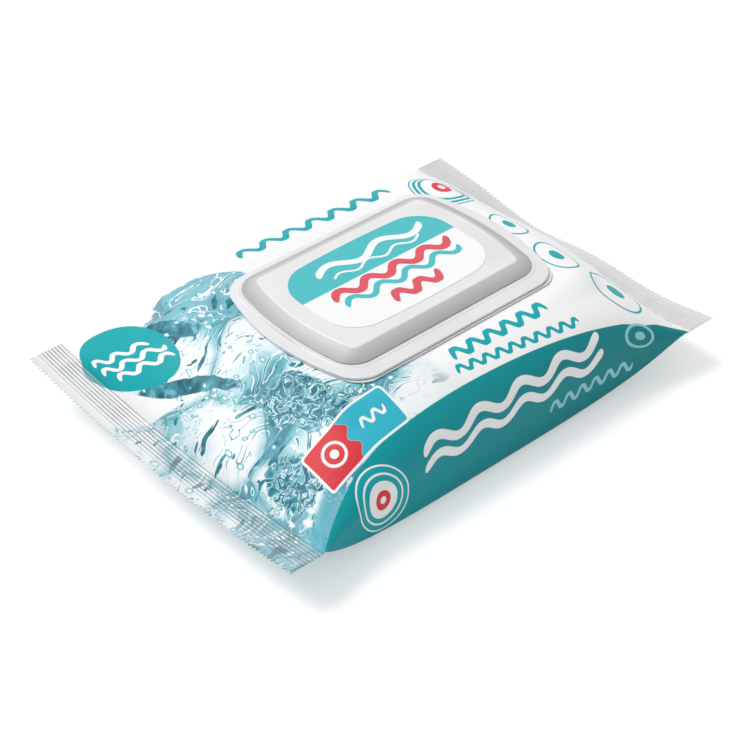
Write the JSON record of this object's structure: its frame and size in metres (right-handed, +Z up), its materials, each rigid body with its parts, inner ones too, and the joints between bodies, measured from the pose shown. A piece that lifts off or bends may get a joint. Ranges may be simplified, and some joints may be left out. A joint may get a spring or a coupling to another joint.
{
  "type": "wet wipes pack",
  "caption": "Soft flow-wrapped film pack of wet wipes with ribbed, toothed end seals and a moulded flip lid over its mouth.",
  "frame": {"origin": "middle of the underside, on the surface that the pack lies on", "axes": "+X along the pack's length from one end seal to the other, +Y from the printed front side towards the lid's hinge, +Z up through the lid"},
  "size_m": [0.1856, 0.134, 0.0439],
  "materials": {
    "film": "printed laminate film, white top and deep teal front side, soft gloss",
    "wet_cloth": "damp white nonwoven cloth",
    "adhesive_sheet": "thin white double-sided adhesive sheet",
    "lid_plastic": "pale grey moulded polypropylene, satin",
    "label_paper": "printed white label, matt"
  },
  "bodies": {
    "pack": {"film_pouch": "film", "wipes_stack": "wet_cloth", "adhesive_pad": "adhesive_sheet", "lid_frame": "lid_plastic"},
    "lid": {"lid_cap": "lid_plastic", "cap_label": "label_paper"}
  },
  "joints": [
    {"name": "cap_hinge", "type": "hinge", "parent": "pack", "child": "lid", "pos_m": [0.0047, 0.0288, 0.0408], "axis": [-1, 0, 0], "range_deg": [0, 140]}
  ]
}
